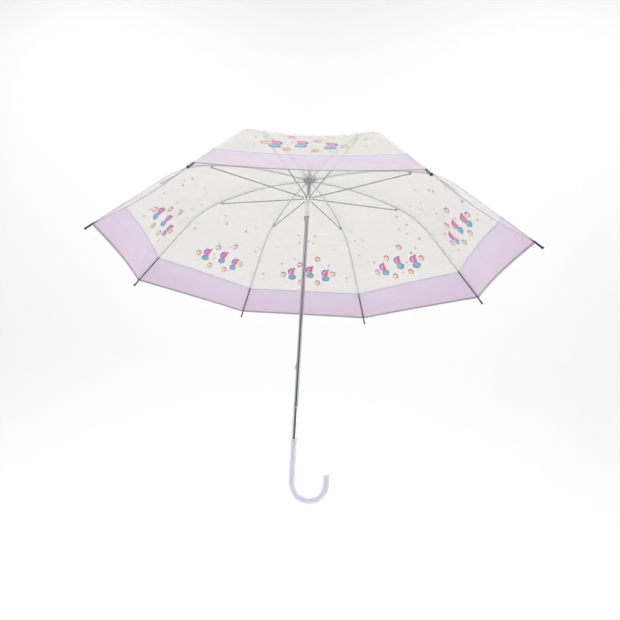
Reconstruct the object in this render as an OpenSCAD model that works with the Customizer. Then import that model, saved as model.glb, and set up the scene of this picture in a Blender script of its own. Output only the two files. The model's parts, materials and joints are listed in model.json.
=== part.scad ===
// Clear bubble umbrella: eight ribs on a straight shaft, a sliding runner and a hook handle.
// Millimetres, +Z up the shaft, origin at the middle of the straight grip, +X from the shaft to the hook.

/* [Canopy] */
// Radius from the shaft axis to the rib tips when open
canopy_r = 435; // [355:1:530]
// Distance that the canopy corner sits in from the rib tip, along the radius
corner_inset = 9.5; // [7:0.5:16]
// Radius of the round edge where the panels meet the crown
canopy_hole_r = 11.6; // [11.2:0.1:14]
// Thickness that stands for the vinyl sheet and its welds
sheet_t = 0.8; // [0.5:0.1:1.5]
// Depth that a panel dips between two ribs
panel_sag = 8; // [2:0.5:14]
// Distance that the hem rises in the middle of a panel
hem_bow = 5; // [0:0.5:12]
// Gap between a rib and the sheet above it
sheet_gap = 0.4; // [0.3:0.1:1]

/* [Ribs] */
// Diameter of the fibreglass rib rod
rib_d = 2.5; // [2:0.1:3]
// Radius from the shaft axis to the joint of rib and stretcher
joint_r = 212; // [180:1:250]
// Drop from the crown pivots to the rib and stretcher joints
joint_drop = 20; // [14:0.5:30]
// Offset of the rib rod outside its stretcher joint
rib_lift = 4.5; // [4:0.1:6]
// Slope of the rib at the stretcher joint, degrees below level
joint_slope = 14; // [10:0.5:18]
// Slope of the outer half of the rib, degrees below level
outer_slope = 45.5; // [38:0.5:48]
// Bend radius of the rib past the stretcher joint
bend_r = 180; // [140:1:220]
// Diameter of the ball on a rib tip
tip_ball_d = 5; // [4:0.1:7]
// Length of the plastic cap on a rib tip
tip_cap_l = 13; // [10:0.5:18]

/* [Stretchers] */
// Diameter of a stretcher rod
stretcher_d = 2.2; // [1.8:0.1:2.4]
// Thickness of the flat eye at the end of a rod
eye_t = 1.6; // [1.2:0.1:2]
// Diameter of the flat eye at the end of a rod
eye_d = 4; // [3.6:0.1:4.2]
// Diameter of the ring wires that carry the eyes
wire_d = 1; // [0.8:0.1:1.4]
// Diameter of the rivet in a rib clip
rivet_d = 1.5; // [1.2:0.1:1.8]

/* [Shaft] */
// Outer diameter of the shaft tube
shaft_d = 8; // [7:0.1:8.6]
// Wall of the shaft tube
shaft_wall = 0.8; // [0.6:0.1:1.2]
// Height of the crown pivots above the middle of the grip
crown_h = 579; // [540:1:700]
// Depth of the shaft tube inside the handle
shaft_in_handle = 30; // [18:1:34]
// Radius of the ring wires in the crown and the runner
wire_ring_r = 8; // [7.6:0.1:9]
// Height of the crown and of the runner hub
hub_h = 7; // [6:0.5:10]
// Outer radius of the crown and of the runner hub
hub_r = 10.4; // [10.2:0.1:11]
// Radius of the round cap over the canopy centre
cap_r = 17; // [15:0.5:24]
// Diameter of the ferrule
ferrule_d = 9.5; // [9.2:0.1:14]
// Length of the ferrule above the cap
ferrule_l = 36; // [24:1:70]

/* [Runner] */
// Outer diameter of the runner tube
runner_d = 13; // [12:0.1:15]
// Length of the runner below its pivots
runner_l = 42; // [34:1:60]
// Diameter of the flange at the foot of the runner
flange_d = 17.5; // [16:0.1:20]
// Thickness of the flange
flange_t = 2.6; // [2:0.1:5]
// Sliding clearance on the radius of the shaft
runner_gap = 0.3; // [0.2:0.05:0.4]
// Distance that a spring catch stands out of the shaft
catch_out = 1.9; // [1.4:0.1:2.4]
// Length of the nose of a spring catch
catch_l = 12; // [9:0.5:16]
// Height of the lower catch's shoulder above the middle of the grip
low_catch_h = 173.5; // [173:0.5:230]

/* [Handle] */
// Diameter of the handle rod
handle_d = 12; // [11:0.1:16]
// Length of the straight part of the handle
handle_l = 78; // [64:1:120]
// Radius of the hook's centreline
hook_r = 32; // [26:0.5:45]
// Length of the straight end of the hook
hook_end_l = 18; // [10:1:40]
// Diameter of the polished collar above the handle
collar_d = 11.4; // [10.6:0.1:14]
// Length of the polished collar
collar_l = 60; // [30:1:80]

/* [Hidden] */
RIBS = 8;
STEP = 360 / RIBS;
HALF = STEP / 2;

RODS = 24;       // facets of a thin rod
ROUND = 64;      // facets of a turned part
EPS = 0.01;      // step on the radius where two stretches of a rod join
JOIN = 0.4;      // overlap that joins two stretches of a rod
CUT = 1;         // distance that a cut runs past what it cuts
FIT = 0.05;      // clearance of a pressed fit, on the radius
PIN_GAP = 0.15;  // clearance of an eye on its wire or rivet, on the radius
SLOT_GAP = 0.35; // clearance beside a rod in its slot
FLEX_GAP = 0.6;  // half the gap where the rib rod flexes
SEAM_GAP = 0.3;  // half the gap between two panels
CAP_GAP = 0.4;   // gap under the cap
STOP_GAP = 0.4;  // gap between the runner and a stop or a catch
END_GAP = 0.3;   // gap beyond the end of a rod in its bore or slot
CATCH_GAP = 0.3; // gap beside a catch in its slot
EYE_JOIN = 0.2;  // depth that a rod's end runs into its eye

// Pivots of one rib in its own plane, as [radius, height].
crown_pivot = [wire_ring_r, crown_h];
joint = [joint_r, crown_h - joint_drop];
runner_pivot = [wire_ring_r, crown_h - 2 * joint_drop];
function along(a) = [cos(a), -sin(a)];
function above(a) = [sin(a), cos(a)];

// The clip on a rib. The rod is cut where it flexes, a margin outside the clip.
clip_l = 11;
clip_w = 5.2;
clip_wall = 1.1;
clip_margin = 3;
clip_lip = 0.55; // height of the clip's open side above the rod's axis, under the sheet
rivet_out = 0.5;
rod_start_l = eye_d / 2 - EYE_JOIN;

// The rib rod: a long arc from the crown, a tighter bend and a straight outer part.
rib_at_joint = joint + rib_lift * above(joint_slope);
root_chord = rib_at_joint - crown_pivot;
root_slope = 2 * atan2(-root_chord[1], root_chord[0]) - joint_slope;
root_r = norm(root_chord) / (2 * sin((joint_slope - root_slope) / 2));
root_c = rib_at_joint - root_r * above(joint_slope);
flex_slope = joint_slope + (clip_l / 2 + clip_margin) / root_r * 180 / PI;
flex = root_c + root_r * above(flex_slope);
bend_c = flex - bend_r * above(flex_slope);
knee = bend_c + bend_r * above(outer_slope);
outer_l = (canopy_r - knee[0]) / cos(outer_slope);
rib_tip = knee + outer_l * along(outer_slope);
root_l = root_r * (flex_slope - root_slope) * PI / 180;
bend_l = bend_r * (outer_slope - flex_slope) * PI / 180;

// Point and slope of the rib's centreline at a length from the crown pivot.
function slope_at(l) = l < root_l ? root_slope + l / root_r * 180 / PI
    : l < root_l + bend_l ? flex_slope + (l - root_l) / bend_r * 180 / PI : outer_slope;
function point_at(l) = l < root_l ? root_c + root_r * above(slope_at(l))
    : l < root_l + bend_l ? bend_c + bend_r * above(slope_at(l))
    : knee + (l - root_l - bend_l) * along(outer_slope);

// The runner's parts, from its pivots down.
bore_r = shaft_d / 2 + runner_gap;
runner_top = runner_pivot[1] + hub_h / 2;
runner_foot = runner_pivot[1] - runner_l;
slot_w = max(rib_d, stretcher_d, eye_t) + 2 * SLOT_GAP;
slot_in_r = wire_ring_r - eye_d / 2 - END_GAP;

// The cap and the ferrule, above the crown.
crown_top = crown_h + hub_h / 2;
sheet_rise = 2; // room that the sheet's slope needs between the crown and the cap
cap_z = max(crown_top, crown_h + rib_d / 2 + sheet_gap + sheet_t + sheet_rise) + CAP_GAP;
cap_t = 1.6;
cap_crown = 1.4;
cap_edge = 0.4;
cap_bevel = 1.2;
ferrule_z = cap_z + cap_t + cap_crown;
ferrule_top = ferrule_z + ferrule_l;
shaft_top = ferrule_z + ferrule_l / 2;

// The handle, the collar and the shaft's foot.
grip_top = handle_l / 2;
shaft_foot = grip_top - shaft_in_handle;
collar_top = grip_top + collar_l;
hook_x = 2 * hook_r;

// The catches and the stop pin.
catch_t = 1.6;
catch_in = 2.2;
catch_slope = 0.72; // share of a catch's nose that is its slope
catch_slot_w = catch_t + 2 * CATCH_GAP;
stop_d = 1.6;
stop_out = 1.2;
stop_h = runner_top + stop_d / 2 + STOP_GAP;
top_catch_h = runner_foot - STOP_GAP;

// One arc of a rod in the XZ plane, between two slopes.
module arc_rod(centre, r, from, to, d) {
    translate([centre[0], 0, centre[1]]) rotate([90, 0, 0]) rotate([0, 0, 90 - to])
        rotate_extrude(angle = to - from, $fn = 4 * ROUND) translate([r, 0]) circle(d = d, $fn = RODS);
}

// A straight rod in the XZ plane, from one point to another.
module rod(from, to, d) {
    run = to - from;
    translate([from[0], 0, from[1]]) rotate([0, atan2(run[0], run[1]), 0])
        cylinder(d = d, h = norm(run), $fn = RODS);
}

// A pin along Y through a point of the XZ plane.
module cross_pin(at, d, w) {
    translate([at[0], 0, at[1]]) rotate([90, 0, 0]) cylinder(d = d, h = w, center = true, $fn = RODS);
}

// The closed ring of wire that the eyes turn on.
module wire_ring(at, d) {
    translate([0, 0, at[1]]) rotate_extrude($fn = 2 * ROUND) translate([at[0], 0]) circle(d = d, $fn = RODS);
}

// A ring on the shaft axis, from its inner and outer radius.
module tube(r_in, r_out, z, h) {
    translate([0, 0, z]) difference() {
        cylinder(r = r_out, h = h, $fn = ROUND);
        translate([0, 0, -CUT]) cylinder(r = r_in, h = h + 2 * CUT, $fn = ROUND);
    }
}

// Moves the parts of rib i into its place round the shaft.
module at_rib(i) {
    rotate([0, 0, HALF + STEP * (i - 1)]) children();
}

// Eight slots for the eyes and the groove for their wire.
module eye_slots(pivot) {
    for (i = [1 : RIBS]) at_rib(i)
        translate([slot_in_r, -slot_w / 2, pivot[1] - hub_h]) cube([hub_r, slot_w, 2 * hub_h]);
    wire_ring(pivot, wire_d + 2 * FIT);
}

module shaft_tube() {
    color("silver") difference() {
        tube(shaft_d / 2 - shaft_wall, shaft_d / 2, shaft_foot, shaft_top - shaft_foot);
        catch_slot(top_catch_h - catch_l);
        catch_slot(low_catch_h);
        cross_pin([0, stop_h], stop_d + 2 * FIT, shaft_d + 2 * CUT);
    }
}

// The opening in the tube wall that a catch's nose stands out of.
module catch_slot(z) {
    translate([-shaft_d, -catch_slot_w / 2, z - CUT]) cube([shaft_d, catch_slot_w, catch_l + 2 * CUT]);
}

module crown() {
    color("slategray") difference() {
        tube(shaft_d / 2 + FIT, hub_r, crown_h - hub_h / 2, hub_h);
        eye_slots(crown_pivot);
    }
}

module crown_wire() {
    color("silver") wire_ring(crown_pivot, wire_d);
}

module ferrule() {
    tip_r = ferrule_d / 2;
    color("gainsboro") difference() {
        translate([0, 0, ferrule_z]) rotate_extrude($fn = ROUND) {
            square([tip_r, ferrule_l - tip_r]);
            translate([0, ferrule_l - tip_r]) intersection() {
                circle(r = tip_r, $fn = ROUND);
                square(tip_r);
            }
        }
        translate([0, 0, ferrule_z - CUT])
            cylinder(r = shaft_d / 2 + FIT, h = shaft_top - ferrule_z + CUT + END_GAP, $fn = ROUND);
    }
}

module canopy_cap() {
    color("lavender") translate([0, 0, cap_z]) rotate_extrude($fn = ROUND)
        polygon([[shaft_d / 2 + FIT, 0], [cap_r - cap_edge, 0], [cap_r, cap_edge],
            [cap_r, cap_t - cap_edge], [cap_r - cap_bevel, cap_t], [shaft_d, cap_t + cap_crown],
            [shaft_d / 2 + FIT, cap_t + cap_crown]]);
}

module stop_pin() {
    color("dimgray") cross_pin([0, stop_h], stop_d, shaft_d + 2 * stop_out);
}

// A leaf inside the tube with a nose that stands out on the -X side; flip turns its slope upwards.
module catch(z, flip) {
    wall_in = shaft_d / 2 - shaft_wall - catch_in;
    reach = shaft_d / 2 + catch_out;
    nose = [[wall_in, 0], [shaft_d / 2, 0], [reach, catch_l * catch_slope], [reach, catch_l],
        [wall_in, catch_l]];
    translate([0, catch_t / 2, z + (flip ? catch_l : 0)]) rotate([90, 0, 0])
        linear_extrude(catch_t) mirror([1, 0]) mirror([0, flip ? 1 : 0]) polygon(nose);
}

module top_catch() {
    color("darkgray") catch(top_catch_h - catch_l, false);
}

module low_catch() {
    color("darkgray") catch(low_catch_h, true);
}

module collar() {
    r = collar_d / 2;
    lip = 0.8;
    color("whitesmoke") difference() {
        translate([0, 0, grip_top]) rotate_extrude($fn = ROUND)
            polygon([[0, 0], [r, 0], [r, collar_l - lip], [r - lip, collar_l], [0, collar_l]]);
        translate([0, 0, grip_top - CUT])
            cylinder(r = shaft_d / 2 + FIT, h = collar_l + 2 * CUT, $fn = ROUND);
    }
}

module handle() {
    color("plum") difference() {
        union() {
            translate([0, 0, -handle_l / 2]) cylinder(d = handle_d, h = handle_l, $fn = ROUND);
            translate([hook_r, 0, -handle_l / 2]) rotate([90, 0, 0]) rotate([0, 0, 180])
                rotate_extrude(angle = 180, $fn = 2 * ROUND)
                    translate([hook_r, 0]) circle(d = handle_d, $fn = ROUND);
            translate([hook_x, 0, -handle_l / 2]) cylinder(d = handle_d, h = hook_end_l, $fn = ROUND);
        }
        translate([0, 0, shaft_foot - END_GAP])
            cylinder(r = shaft_d / 2 + FIT, h = shaft_in_handle + END_GAP + CUT, $fn = ROUND);
    }
}

module runner() {
    foot_r = flange_d / 2;
    edge = 0.5;
    neck = 1.5;
    hub_z = runner_l - hub_h / 2;
    top_z = runner_l + hub_h / 2;
    color("ivory") difference() {
        translate([0, 0, runner_foot]) rotate_extrude($fn = ROUND)
            polygon([[bore_r, 0], [foot_r - edge, 0], [foot_r, edge], [foot_r, flange_t - edge],
                [foot_r - edge, flange_t], [runner_d / 2, flange_t], [runner_d / 2, hub_z - neck],
                [hub_r - edge, hub_z], [hub_r, hub_z + edge], [hub_r, top_z - edge],
                [hub_r - edge, top_z], [bore_r, top_z]]);
        eye_slots(runner_pivot);
    }
}

module runner_wire() {
    color("silver") wire_ring(runner_pivot, wire_d);
}

// The clip that joins a rib to its stretcher: a block on the rod, two cheeks and a rivet.
module rib_clip() {
    cheek = (clip_w - max(eye_t, stretcher_d) - 2 * PIN_GAP) / 2;
    foot = rib_d / 2 + clip_wall;
    difference() {
        translate([rib_at_joint[0], 0, rib_at_joint[1]]) rotate([0, joint_slope, 0]) union() {
            translate([-clip_l / 2, -clip_w / 2, -foot]) cube([clip_l, clip_w, foot + clip_lip]);
            for (side = [-1, 1]) translate([0, side * (clip_w - cheek) / 2, 0]) {
                translate([-eye_d / 2, -cheek / 2, -rib_lift]) cube([eye_d, cheek, rib_lift]);
                translate([0, 0, -rib_lift]) rotate([90, 0, 0])
                    cylinder(d = eye_d, h = cheek, center = true, $fn = RODS);
            }
        }
        arc_rod(root_c, root_r, slope_at(root_l - 2 * clip_l), flex_slope, rib_d + 2 * FIT);
        cross_pin(joint, rivet_d + 2 * FIT, clip_w + 2 * CUT);
    }
    cross_pin(joint, rivet_d, clip_w + 2 * rivet_out);
}

module rib_root(i) {
    at_rib(i) {
        color("gainsboro") difference() {
            union() {
                arc_rod(root_c, root_r, slope_at(rod_start_l), slope_at(root_l - FLEX_GAP), rib_d);
                cross_pin(crown_pivot, eye_d, eye_t);
            }
            cross_pin(crown_pivot, wire_d + 2 * PIN_GAP, eye_t + 2 * CUT);
        }
        color("white") rib_clip();
    }
}

module rib_end(i) {
    at_rib(i) color("gainsboro") {
        arc_rod(bend_c, bend_r, slope_at(root_l + FLEX_GAP), outer_slope, rib_d);
        rod(knee - JOIN * along(outer_slope), rib_tip, rib_d + 2 * EPS);
    }
}

module rib_cap(i) {
    back = rib_tip - tip_cap_l * along(outer_slope);
    wall = 0.6;
    ball_rise = 0.2;
    at_rib(i) color("black") difference() {
        translate([back[0], 0, back[1]]) rotate([0, 90 + outer_slope, 0]) rotate_extrude($fn = ROUND) {
            square([rib_d / 2 + wall, tip_cap_l]);
            translate([0, tip_cap_l + ball_rise]) intersection() {
                circle(d = tip_ball_d, $fn = RODS);
                translate([0, -tip_ball_d]) square(2 * tip_ball_d);
            }
        }
        rod(back - along(outer_slope), rib_tip + FIT * along(outer_slope), rib_d + 2 * (EPS + FIT));
    }
}

module stretcher(i) {
    run = (runner_pivot - joint) / norm(runner_pivot - joint);
    start = rod_start_l * run;
    at_rib(i) color("slategray") difference() {
        union() {
            rod(joint + start, runner_pivot - start, stretcher_d);
            cross_pin(joint, eye_d, eye_t);
            cross_pin(runner_pivot, eye_d, eye_t);
        }
        cross_pin(joint, rivet_d + 2 * PIN_GAP, eye_t + 2 * CUT);
        cross_pin(runner_pivot, wire_d + 2 * PIN_GAP, eye_t + 2 * CUT);
    }
}

// Half a canopy panel, from its rib to its middle line, as a closed thin sheet.
ROOT_ROWS = 8;
BEND_ROWS = 8;
OUTER_ROWS = 4;
ROWS = ROOT_ROWS + BEND_ROWS + OUTER_ROWS;
COLS = 6;
edge_l = root_l + bend_l + outer_l - corner_inset / cos(outer_slope);
start_l = canopy_hole_r - wire_ring_r;
lift = rib_d / 2 + sheet_gap;
SAG_FULL = 0.55; // share of the length where the dip is full
// Length along the rib at a row, so that rows are close where the rib bends.
function row_l(i) = i <= ROOT_ROWS ? start_l + (root_l - start_l) * i / ROOT_ROWS
    : i <= ROOT_ROWS + BEND_ROWS ? root_l + bend_l * (i - ROOT_ROWS) / BEND_ROWS
    : root_l + bend_l + (edge_l - root_l - bend_l) * (i - ROOT_ROWS - BEND_ROWS) / OUTER_ROWS;
function row_share(i) = (row_l(i) - start_l) / (edge_l - start_l);
function dip(s) = panel_sag * sin(90 * min(1, s / SAG_FULL));
function sheet_point(u, v, t, side) =
    let(hem = hem_bow * v * (2 - v), l = start_l + (edge_l - hem - start_l) * u,
        p = point_at(l), n = above(slope_at(l)), off = lift + t - dip(u) * v * (2 - v),
        q = p + off * n, edge = SEAM_GAP / q[0],
        w = edge + (1 - 2 * edge) * v,
        a = q[0] * [1, 0], m = q[0] * cos(HALF) * [cos(HALF), sin(HALF)], xy = a + (m - a) * w)
    [xy[0], side * (xy[1]), q[1]];
function sheet_points(side) = [for (t = [0, sheet_t], i = [0 : ROWS], j = [0 : COLS])
    sheet_point(row_share(i), j / COLS, t, side)];
function id(k, i, j) = (k * (ROWS + 1) + i) * (COLS + 1) + j;
function flip(f, on) = on ? [f[2], f[1], f[0]] : f;
function quad(a, b, c, d, on) = [flip([a, b, c], on), flip([a, c, d], on)];
function sheet_faces(on) = [
    for (i = [0 : ROWS - 1], j = [0 : COLS - 1])
        each quad(id(1, i, j), id(1, i, j + 1), id(1, i + 1, j + 1), id(1, i + 1, j), on),
    for (i = [0 : ROWS - 1], j = [0 : COLS - 1])
        each quad(id(0, i, j), id(0, i + 1, j), id(0, i + 1, j + 1), id(0, i, j + 1), on),
    for (i = [0 : ROWS - 1]) each concat(
        quad(id(0, i, 0), id(1, i, 0), id(1, i + 1, 0), id(0, i + 1, 0), on),
        quad(id(0, i, COLS), id(0, i + 1, COLS), id(1, i + 1, COLS), id(1, i, COLS), on)),
    for (j = [0 : COLS - 1]) each concat(
        quad(id(0, 0, j), id(0, 0, j + 1), id(1, 0, j + 1), id(1, 0, j), on),
        quad(id(0, ROWS, j), id(1, ROWS, j), id(1, ROWS, j + 1), id(0, ROWS, j + 1), on))];

module panel(i, side) {
    at_rib(i) color("lavender", 0.5) polyhedron(sheet_points(side), sheet_faces(side < 0));
}

shaft_tube();
crown();
crown_wire();
ferrule();
canopy_cap();
stop_pin();
top_catch();
low_catch();
collar();
handle();
runner();
runner_wire();
for (i = [1 : RIBS]) {
    rib_root(i);
    rib_end(i);
    rib_cap(i);
    stretcher(i);
    panel(i, 1);
    panel(i, -1);
}
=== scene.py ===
"""Looks of the clear bubble umbrella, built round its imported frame.

Lengths in the dataclasses are millimetres. Mesh points are written in metres, in the row frame.
"""

from __future__ import annotations

import json
import logging
import math
import random
from collections.abc import Callable, Iterable, Sequence
from dataclasses import dataclass, field
from enum import Enum

import bpy
from mathutils import Matrix, Vector

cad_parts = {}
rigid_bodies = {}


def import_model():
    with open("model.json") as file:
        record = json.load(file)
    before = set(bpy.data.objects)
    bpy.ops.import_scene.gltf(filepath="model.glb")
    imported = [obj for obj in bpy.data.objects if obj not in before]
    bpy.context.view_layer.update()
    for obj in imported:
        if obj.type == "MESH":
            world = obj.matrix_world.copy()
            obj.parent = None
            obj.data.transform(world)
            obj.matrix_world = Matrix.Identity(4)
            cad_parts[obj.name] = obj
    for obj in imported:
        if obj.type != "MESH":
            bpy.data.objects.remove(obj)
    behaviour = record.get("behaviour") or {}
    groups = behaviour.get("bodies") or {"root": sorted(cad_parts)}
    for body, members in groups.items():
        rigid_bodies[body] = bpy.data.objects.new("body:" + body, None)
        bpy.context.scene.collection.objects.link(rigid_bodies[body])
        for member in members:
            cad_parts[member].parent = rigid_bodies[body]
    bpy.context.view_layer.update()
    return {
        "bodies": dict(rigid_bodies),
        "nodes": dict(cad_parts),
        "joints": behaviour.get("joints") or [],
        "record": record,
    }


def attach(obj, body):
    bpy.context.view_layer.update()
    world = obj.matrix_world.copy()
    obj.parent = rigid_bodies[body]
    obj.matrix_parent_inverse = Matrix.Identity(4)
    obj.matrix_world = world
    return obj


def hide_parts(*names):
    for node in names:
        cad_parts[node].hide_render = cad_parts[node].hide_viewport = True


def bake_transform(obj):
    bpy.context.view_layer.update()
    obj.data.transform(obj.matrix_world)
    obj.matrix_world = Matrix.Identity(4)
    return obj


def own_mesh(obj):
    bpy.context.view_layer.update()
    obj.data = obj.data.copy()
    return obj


LOG = logging.getLogger("umbrella")
MM = 0.001
RIBS = 8
STEP = math.tau / RIBS
HALF = STEP / 2

# Where patterns change, in metres: each pair is where a step starts and ends.
WELD = (0.0055, 0.0045)  # weld of a sheet along its rib, across the sheet
BAND = (0.0, 0.073)  # border, up from the hem
DARK_END = (0.405, 0.412)  # bare dark end of a rib, along the rod
RUB = (0.50, 0.30)  # rubbed lower shaft, by height
# Painted shade: the runner's bore is painted near black inside this radius.
BORE_SHADE = (0.0052, 0.0045)  # shadowed bore of the runner, by radius
STITCHES = 2100.0  # sine phase per metre of hem
FIBRES = 900.0  # sine phase per metre of rod
GLANCE = 0.25  # how early a film hazes towards its edge-on view

Point2 = tuple[float, float]
Colour = tuple[float, float, float]


class Side(Enum):
    """Which half of a canopy panel, seen from the rib it hangs on."""

    LEFT = 1
    RIGHT = -1


# ---------------------------------------------------------------- sizes


@dataclass(frozen=True)
class RibSizes:
    """The rib rod's line in its own plane, as radius and height."""

    rod_d: float = 2.5
    pivot_r: float = 8.0
    pivot_z: float = 579.0
    joint: Point2 = (212.0, 559.0)
    lift: float = 4.5
    joint_slope: float = 14.0
    outer_slope: float = 45.5
    bend_r: float = 180.0
    tip_r: float = 435.0
    clip_l: float = 11.0
    clip_margin: float = 3.0
    eye_d: float = 4.0
    eye_t: float = 1.6
    start_l: float = 1.8
    sides: int = 20
    steps: int = 110
    eye_sides: int = 24
    eye_bore: float = 0.65


@dataclass(frozen=True)
class ClipSizes:
    """The moulded clip that joins a rib to its stretcher."""

    length: float = 11.0
    width: float = 5.2
    wall: float = 1.1
    cheek: float = 1.35
    lip: float = 0.55
    rivet_d: float = 1.5
    rivet_head_d: float = 2.6
    rivet_head_h: float = 0.5
    rounding: float = 0.45


@dataclass(frozen=True)
class SheetSizes:
    """One canopy panel: its cut, its dip between the ribs and its coloured border."""

    thickness: float = 0.8
    corner_inset: float = 9.5
    hole_r: float = 11.6
    sag: float = 8.0
    sag_full: float = 0.55
    hem_bow: float = 5.0
    gap: float = 0.4
    seam_gap: float = 0.3
    band_w: float = 73.0
    rows: int = 56
    band_rows: int = 12
    cols: int = 18
    ripple: float = 0.45
    keep: float = 0.04


@dataclass(frozen=True)
class TrimSizes:
    """Folded hem, border seam and the round patch at the crown."""

    hem_w: float = 4.2
    hem_t: float = 1.1
    seam_w: float = 4.0
    seam_t: float = 0.5
    cap_r: float = 17.0
    cap_hole_r: float = 4.05
    cap_z: float = 583.85
    cap_h: float = 3.0
    scallops: int = 16
    steps: int = 40
    seam_over: int = 5
    seam_lift: float = 0.12


@dataclass(frozen=True)
class PrintSizes:
    """Printed motifs of one panel, across from its middle and up from its hem."""

    motif_w: float = 22.0
    motif_h: float = 40.0
    motif_rise: float = 108.0
    motifs_left: tuple[Point2, ...] = ((-55.0, 0.0), (-14.0, 7.0))
    motifs_right: tuple[Point2, ...] = ((33.0, 0.0),)
    bubbles_left: tuple[Point2, ...] = ((-34.0, 100.0), (-72.0, 128.0), (-30.0, 168.0))
    bubbles_right: tuple[Point2, ...] = ((11.0, 98.0), (56.0, 120.0), (14.0, 150.0))
    bubble_d: float = 15.0
    dot_d: float = 5.5
    dots: int = 9
    rise: float = 0.30
    dots_from: float = 92.0
    dots_reach: float = 165.0
    dots_inset: tuple[float, float] = (6.0, 16.0)
    disc_steps: int = 28
    disc_rings: int = 3
    leaf_steps: int = 22


@dataclass(frozen=True)
class HandleSizes:
    """The hook handle rod."""

    rod_d: float = 12.0
    straight: float = 78.0
    hook_r: float = 32.0
    end_l: float = 18.0
    end_round: float = 3.2
    seam_rise: float = 0.07
    sides: int = 48


@dataclass(frozen=True)
class CameraSizes:
    """Where the camera stands and how it looks."""

    lens: float = 33.485
    sensor: float = 36.0
    location: tuple[float, float, float] = (0.0098, -1.1190, -0.0215)
    right: tuple[float, float, float] = (0.99354, 0.08091, 0.07944)
    up: tuple[float, float, float] = (-0.05616, -0.25751, 0.96464)
    forward: tuple[float, float, float] = (-0.09851, 0.96288, 0.25130)
    shift_x: float = 0.0986
    shift_y: float = 0.0133


# ---------------------------------------------------------------- rib line


class RibLine:
    """Centreline of a rib: a long arc, a tighter bend and a straight outer part."""

    def __init__(self, sizes: RibSizes) -> None:
        """Solves the arcs.

        Args:
            sizes: the rib's sizes.
        """
        self.sizes = s = sizes
        js = math.radians(s.joint_slope)
        self.at_joint = self._step(s.joint, self.above(js), s.lift)
        dx = self.at_joint[0] - s.pivot_r
        dz = self.at_joint[1] - s.pivot_z
        self.root_slope = 2 * math.atan2(-dz, dx) - js
        self.root_r = math.hypot(dx, dz) / (2 * math.sin((js - self.root_slope) / 2))
        self.root_c = self._step(self.at_joint, self.above(js), -self.root_r)
        self.flex_slope = js + (s.clip_l / 2 + s.clip_margin) / self.root_r
        self.flex = self._step(self.root_c, self.above(self.flex_slope), self.root_r)
        self.outer = math.radians(s.outer_slope)
        self.bend_c = self._step(self.flex, self.above(self.flex_slope), -s.bend_r)
        self.knee = self._step(self.bend_c, self.above(self.outer), s.bend_r)
        self.outer_l = (s.tip_r - self.knee[0]) / math.cos(self.outer)
        self.root_l = self.root_r * (self.flex_slope - self.root_slope)
        self.bend_l = s.bend_r * (self.outer - self.flex_slope)
        self.length = self.root_l + self.bend_l + self.outer_l

    @staticmethod
    def above(slope: float) -> Point2:
        """Unit normal on the outside of a rod with this slope."""
        return (math.sin(slope), math.cos(slope))

    @staticmethod
    def along(slope: float) -> Point2:
        """Unit direction down a rod with this slope."""
        return (math.cos(slope), -math.sin(slope))

    @staticmethod
    def _step(at: Point2, direction: Point2, distance: float) -> Point2:
        """One point a distance further in a direction."""
        return (at[0] + direction[0] * distance, at[1] + direction[1] * distance)

    def slope_at(self, length: float) -> float:
        """Slope below level at a length from the crown pivot, in radians.

        Args:
            length: the length, in millimetres.

        Returns:
            The slope.
        """
        if length < self.root_l:
            return self.root_slope + length / self.root_r
        if length < self.root_l + self.bend_l:
            return self.flex_slope + (length - self.root_l) / self.sizes.bend_r
        return self.outer

    def point_at(self, length: float) -> Point2:
        """Radius and height at a length from the crown pivot.

        Args:
            length: the length, in millimetres.

        Returns:
            The radius and the height.
        """
        slope = self.slope_at(length)
        if length < self.root_l:
            return self._step(self.root_c, self.above(slope), self.root_r)
        if length < self.root_l + self.bend_l:
            return self._step(self.bend_c, self.above(slope), self.sizes.bend_r)
        rest = length - self.root_l - self.bend_l
        return self._step(self.knee, self.along(slope), rest)


def rib_angle(index: int) -> float:
    """Azimuth of rib index, counted from 1."""
    return HALF + STEP * (index - 1)


def in_plane(index: int, at: Point2, aside: float = 0.0) -> Vector:
    """Point of rib index's plane in the row frame, in metres.

    Args:
        index: the rib, from 1.
        at: radius and height.
        aside: distance from the plane, to the left.

    Returns:
        The point.
    """
    a = rib_angle(index)
    x = at[0] * math.cos(a) - aside * math.sin(a)
    y = at[0] * math.sin(a) + aside * math.cos(a)
    return Vector((x, y, at[1])) * MM


# ---------------------------------------------------------------- shader fields


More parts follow.
